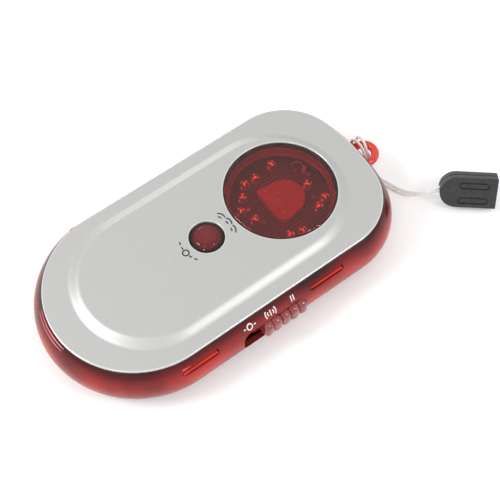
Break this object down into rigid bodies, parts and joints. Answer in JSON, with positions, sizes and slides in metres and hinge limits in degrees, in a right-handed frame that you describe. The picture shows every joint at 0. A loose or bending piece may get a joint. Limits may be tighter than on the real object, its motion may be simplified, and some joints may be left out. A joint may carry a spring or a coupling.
{
  "type": "circuit breaker finder",
  "caption": "Palm-sized circuit breaker finder receiver in a translucent red case with silver face, round window, push button, side selector slide and wrist cord.",
  "frame": {"origin": "Centre of the flat bottom of the case, on the table", "axes": "+X to the head end with the window and the lanyard eye, -Y is the selector side, +Z is out of the face"},
  "size_m": [0.1601, 0.0758, 0.0229],
  "materials": {
    "red_shell": "translucent red moulded shell",
    "plate": "fine satin silver pressed plate",
    "window": "clear dark red window",
    "eye": "bright orange red",
    "board": "solder mask",
    "lamps": "red tinted lamp resin",
    "tin": "tinned wire",
    "sounder": "moulded",
    "brass": "thin disc",
    "black_plastic": "fine texture",
    "ceramic_tan": "lacquered",
    "blue_sleeve": "shrunk sleeve",
    "ferrite": "fired ferrite",
    "ivory": "moulded",
    "copper": "enamelled copper wire",
    "steel": "plated",
    "cell_wrap": "plain printed-free sleeve",
    "wire": "soft insulation",
    "button": "dark maroon translucent",
    "knob": "pinkish red translucent",
    "cord": "white braided cord",
    "fitting": "dark grey moulded"
  },
  "bodies": {
    "housing": {"upper_shell": "red_shell", "lower_shell": "red_shell", "face_plate": "plate", "window_lens": "window", "lanyard_eye": "eye", "circuit_board": "board", "indicator_leds": "lamps", "led_legs": "tin", "sounder": "sounder", "sounder_disc": "brass", "processor_chip": "black_plastic", "chip_legs": "tin", "resistors": "ceramic_tan", "capacitors": "blue_sleeve", "disc_capacitor": "ceramic_tan", "transistors": "black_plastic", "transistor_legs": "tin", "pickup_core": "ferrite", "pickup_bobbin": "ivory", "pickup_winding": "copper", "scan_switch_body": "black_plastic", "selector_switch_body": "steel", "aaa_cells": "cell_wrap", "cell_springs": "steel", "cell_contacts": "steel", "battery_leads": "wire", "board_screws": "steel", "case_screws": "steel", "lanyard_cord": "cord", "cord_end_front": "fitting", "cord_end_back": "fitting", "cord_clip": "steel"},
    "button": {"scan_button": "button", "scan_plunger": "black_plastic"},
    "selector": {"selector_knob": "knob", "selector_lever": "black_plastic"},
    "door": {"battery_door": "red_shell"}
  },
  "joints": [
    {"name": "scan_press", "type": "slide", "parent": "housing", "child": "button", "axis": [0, 0, 1], "range_m": [-0.0008, 0], "stiffness_N_per_m": 500},
    {"name": "selector_slide", "type": "slide", "parent": "housing", "child": "selector", "axis": [1, 0, 0], "range_m": [-0.007, 0]},
    {"name": "door_slide", "type": "slide", "parent": "housing", "child": "door", "axis": [1, 0, 0], "range_m": [-0.055, 0]}
  ]
}
